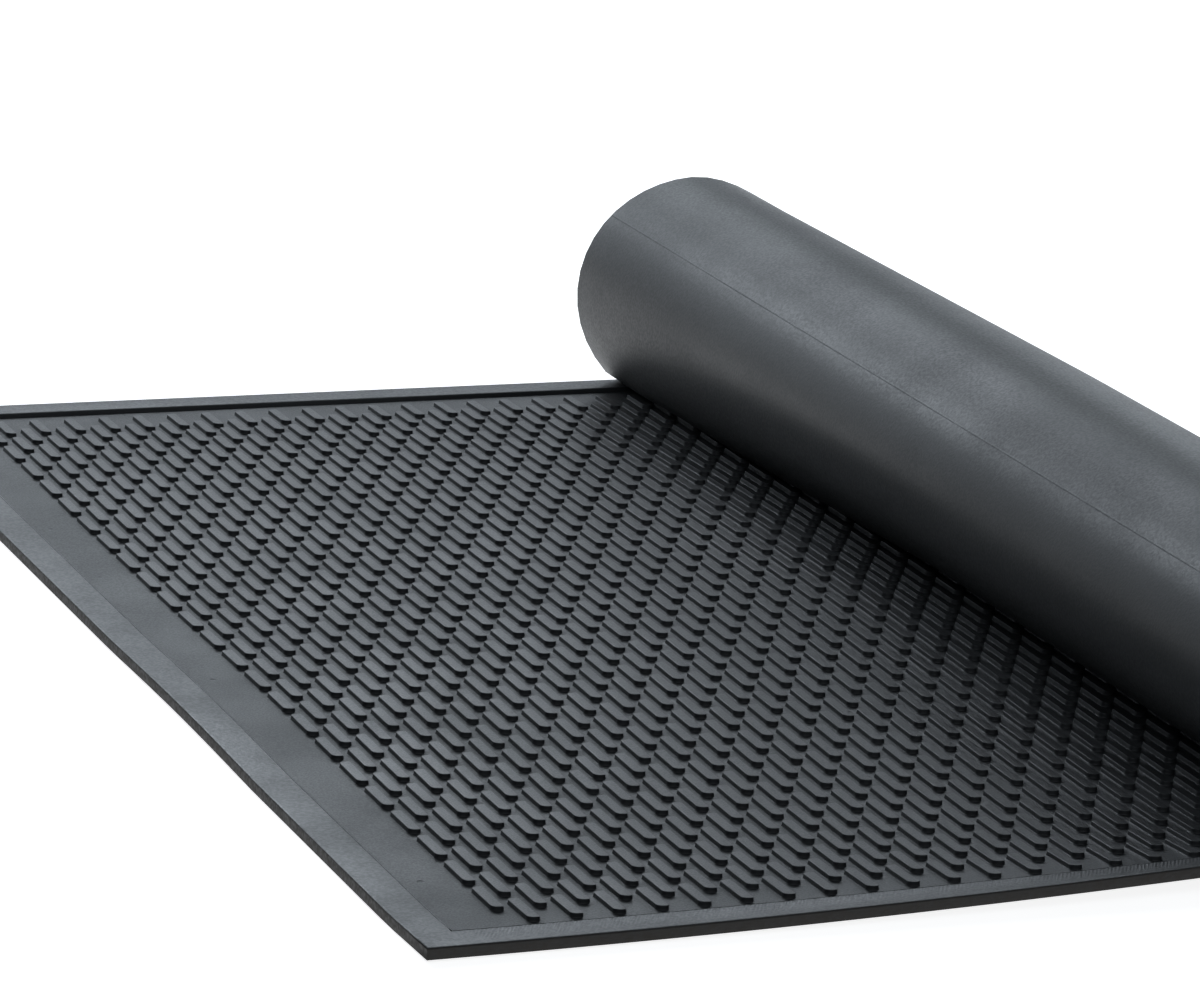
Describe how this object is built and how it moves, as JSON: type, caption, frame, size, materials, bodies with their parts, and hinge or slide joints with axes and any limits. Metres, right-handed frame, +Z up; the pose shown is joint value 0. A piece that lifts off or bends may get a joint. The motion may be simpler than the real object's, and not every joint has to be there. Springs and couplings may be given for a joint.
{
  "type": "rubber scraper mat",
  "caption": "Black rubber scraper mat with a raised rim and rows of small slanted cleats, lying flat at one end and rolled up with its smooth back outside at the other.",
  "frame": {"origin": "centre of the whole part's footprint, on the floor", "axes": "+X along the mat from its free end to the roll, +Y across the mat's width along the roll, +Z up"},
  "size_m": [0.5924, 0.9, 0.133],
  "materials": {
    "rubber": "moulded black rubber, matt with a soft sheen and a fine grain"
  },
  "bodies": {
    "root": {"mat": "rubber"}
  },
  "joints": []
}
